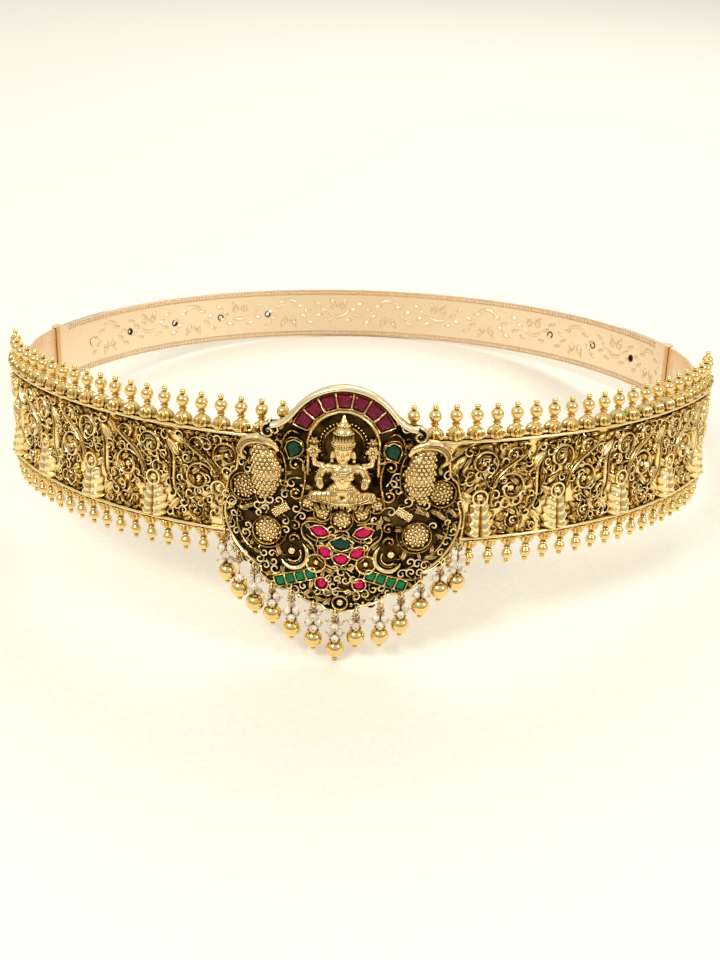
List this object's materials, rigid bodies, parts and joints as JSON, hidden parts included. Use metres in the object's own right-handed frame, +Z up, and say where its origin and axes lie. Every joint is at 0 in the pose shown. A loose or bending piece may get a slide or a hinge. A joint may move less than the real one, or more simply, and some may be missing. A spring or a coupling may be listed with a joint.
{
  "type": "ornamental waist belt",
  "caption": "Stiff ring-shaped waist belt: cast scrollwork front band edged with bead finials, plain adjustable back strap, and a pierced pendant with stones and hanging drops.",
  "frame": {"origin": "on the resting surface, under the middle of the belt's box; the belt lies as it rests by itself, on the lower back edge of its strap and on the tip of its lowest drop", "axes": "+Z up, -Y towards the front with the pendant, +X to the right seen from the front; the ring is level from left to right and its front is raised by about ten degrees"},
  "size_m": [0.262, 0.2684, 0.0902],
  "materials": {
    "antique_gold": "cast gold-plated brass, darkened in the recesses, polished on the ridges",
    "bright_gold": "polished gold-plated brass",
    "satin_rose_gold": "rolled brass strip with a satin pale rose-gold plating, engraved",
    "ruby_glass": "faceted dark red stone set over foil",
    "pink_glass": "faceted or domed pink stone set over foil",
    "green_glass": "faceted green stone set over foil",
    "pearl": "small pearl bead with a soft lustre"
  },
  "bodies": {
    "root": {"band_left": "antique_gold", "band_right": "antique_gold", "top_beading_left": "bright_gold", "top_beading_right": "bright_gold", "bottom_beading_left": "bright_gold", "bottom_beading_right": "bright_gold", "strap_back": "satin_rose_gold", "strap_left": "satin_rose_gold", "strap_right": "satin_rose_gold", "pendant_plate": "antique_gold", "canopy": "bright_gold", "goddess": "antique_gold", "peacock_left": "antique_gold", "peacock_right": "antique_gold", "ruby_1": "ruby_glass", "ruby_2": "ruby_glass", "ruby_3": "ruby_glass", "ruby_4": "ruby_glass", "ruby_5": "ruby_glass", "ruby_6": "ruby_glass", "ruby_7": "ruby_glass", "teardrop_left": "green_glass", "marquise_left": "pink_glass", "teardrop_right": "green_glass", "marquise_right": "pink_glass", "lozenge": "green_glass", "petal_left": "pink_glass", "petal_middle": "pink_glass", "petal_right": "pink_glass", "bar_left_1": "green_glass", "bar_left_2": "green_glass", "bar_left_3": "green_glass", "bar_left_4": "green_glass", "bar_right_1": "green_glass", "bar_right_2": "green_glass", "bar_right_3": "green_glass", "bar_right_4": "green_glass", "cabochon_left": "pink_glass", "cabochon_right": "pink_glass", "drop_1": "bright_gold", "drop_2": "bright_gold", "drop_3": "bright_gold", "drop_4": "bright_gold", "drop_5": "bright_gold", "drop_6": "bright_gold", "drop_7": "bright_gold", "drop_8": "bright_gold", "drop_9": "bright_gold", "drop_10": "bright_gold", "drop_11": "bright_gold", "drop_12": "bright_gold", "drop_13": "bright_gold", "drop_pins": "bright_gold", "pearls": "pearl"}
  },
  "joints": []
}
